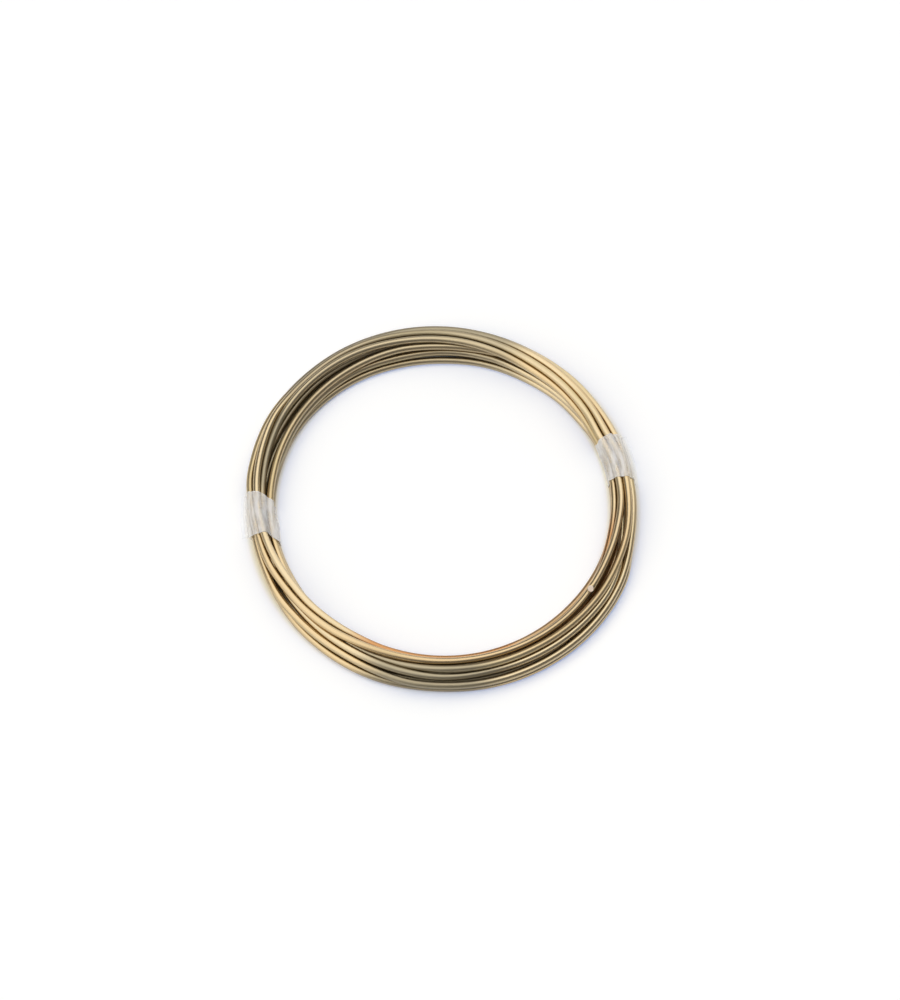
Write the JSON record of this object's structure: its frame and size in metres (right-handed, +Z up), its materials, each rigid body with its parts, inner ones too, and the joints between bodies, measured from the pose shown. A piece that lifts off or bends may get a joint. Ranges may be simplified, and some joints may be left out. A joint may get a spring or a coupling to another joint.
{
  "type": "brass wire coil",
  "caption": "Loose ring-shaped coil of bright round brass wire, lying flat, held together by bands of clear tape, with a cut wire end on top.",
  "frame": {"origin": "centre of the coil's eye, on the surface that the coil lies on", "axes": "+Z up, along the coil's axis; +X towards the side of the right tape band and the cut end, -X towards the left tape band; -Y is the side that faces the viewer"},
  "size_m": [0.1127, 0.1076, 0.0076],
  "materials": {
    "brass_wire": "bright drawn wire, lightly tarnished",
    "clear_tape": "clear adhesive film, wrinkled and slightly milky"
  },
  "bodies": {
    "root": {"wire_coil": "brass_wire", "left_tape": "clear_tape", "right_tape": "clear_tape"}
  },
  "joints": []
}
